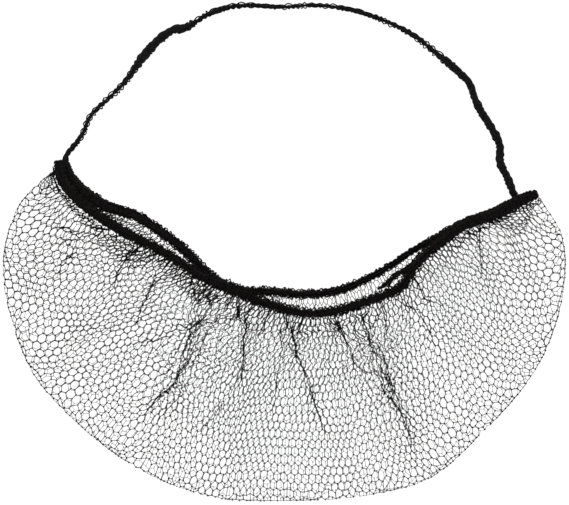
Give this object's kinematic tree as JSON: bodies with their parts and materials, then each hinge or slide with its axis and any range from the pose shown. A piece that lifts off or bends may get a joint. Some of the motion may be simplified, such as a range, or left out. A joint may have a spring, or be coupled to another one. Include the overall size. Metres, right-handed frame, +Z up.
{
  "type": "beard net",
  "caption": "Beard net lying flat: a hollow pouch of black hexagon mesh, gathered along elastic edges at its open mouth, with an elastic loop for the back of the head.",
  "frame": {"origin": "on the surface that the net lies on, under the middle of the pouch and its edges, head loop left out", "axes": "+X across the pouch to the right, +Y from the pouch's foot towards the head loop, +Z up from the surface"},
  "size_m": [0.2817, 0.2501, 0.0223],
  "materials": {
    "net_yarn": "thin knitted nylon yarn, soft sheen",
    "band_elastic": "net yarn gathered tightly on elastic",
    "loop_elastic": "elastic in a gathered net sleeve"
  },
  "bodies": {
    "root": {"net_pouch": "net_yarn", "back_band": "band_elastic", "front_band": "band_elastic", "head_loop": "loop_elastic"}
  },
  "joints": []
}
